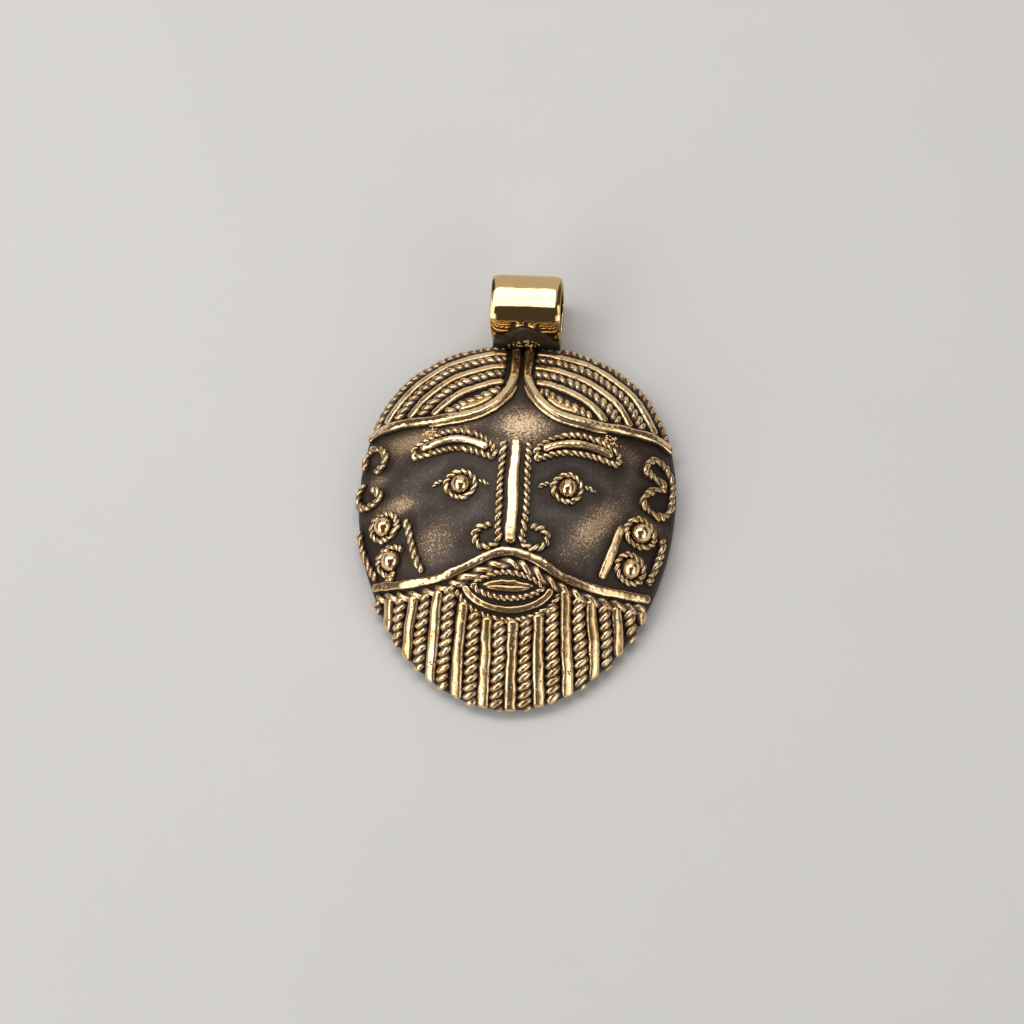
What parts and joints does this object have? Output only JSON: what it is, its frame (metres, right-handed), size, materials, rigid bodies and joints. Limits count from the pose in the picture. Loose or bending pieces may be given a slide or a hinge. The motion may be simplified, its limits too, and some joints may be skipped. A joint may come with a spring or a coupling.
{
  "type": "bronze face mask pendant",
  "caption": "Cast bronze pendant: an oval bearded face mask in twisted-wire relief, hollow at the back, with a polished band bail on the crown.",
  "frame": {"origin": "under the middle of the whole pendant as it lies on its back, on the plane of the mask's flat rim", "axes": "+Z is the way the face looks, +Y runs from the beard to the bail, +X is the wearer's left"},
  "size_m": [0.0297, 0.0414, 0.0081],
  "materials": {
    "patinated_bronze": "cast bronze with dark brown patina in the recesses and rubbed bright relief",
    "polished_bronze": "mirror-polished yellow bronze"
  },
  "bodies": {
    "root": {"face_mask": "patinated_bronze", "bail": "polished_bronze"}
  },
  "joints": []
}
